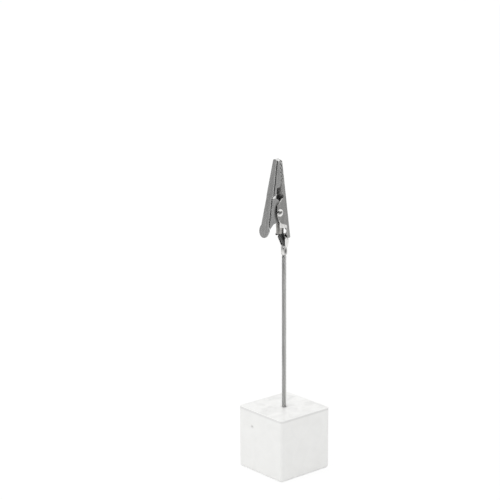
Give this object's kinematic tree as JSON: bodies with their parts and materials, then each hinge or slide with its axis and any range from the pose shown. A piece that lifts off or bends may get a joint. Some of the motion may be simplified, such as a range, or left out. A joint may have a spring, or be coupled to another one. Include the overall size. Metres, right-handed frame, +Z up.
{
  "type": "memo clip holder",
  "caption": "Desk memo holder: a cast white cube carries an upright wire rope stem with a small toothed spring clip at its top.",
  "frame": {"origin": "centre of the cube's underside, on the stem's axis", "axes": "+Z up along the stem, -X towards the clip's lever and thumb pad, +Y to the side so that the frame is right-handed"},
  "size_m": [0.022, 0.022, 0.1083],
  "materials": {
    "cast_cube": "satin",
    "stem_wire": "satin",
    "clip_sheet": "polished",
    "lever_sheet": "satin",
    "rivet_steel": "polished",
    "spring_wire": "satin"
  },
  "bodies": {
    "holder": {"cube_base": "cast_cube", "stem_core_strand": "stem_wire", "stem_strand_1": "stem_wire", "stem_strand_2": "stem_wire", "stem_strand_3": "stem_wire", "stem_strand_4": "stem_wire", "stem_strand_5": "stem_wire", "stem_strand_6": "stem_wire", "fixed_jaw": "clip_sheet", "rivet": "rivet_steel", "torsion_spring": "spring_wire"},
    "lever": {"lever_jaw": "lever_sheet"}
  },
  "joints": [
    {"name": "lever_pivot", "type": "hinge", "parent": "holder", "child": "lever", "pos_m": [-0.00384, 0, 0.0906], "axis": [0, -1, 0], "range_deg": [0, 28], "stiffness_Nm_per_rad": 0.05, "springref_deg": -34.38, "deforming": ["torsion_spring"]}
  ]
}
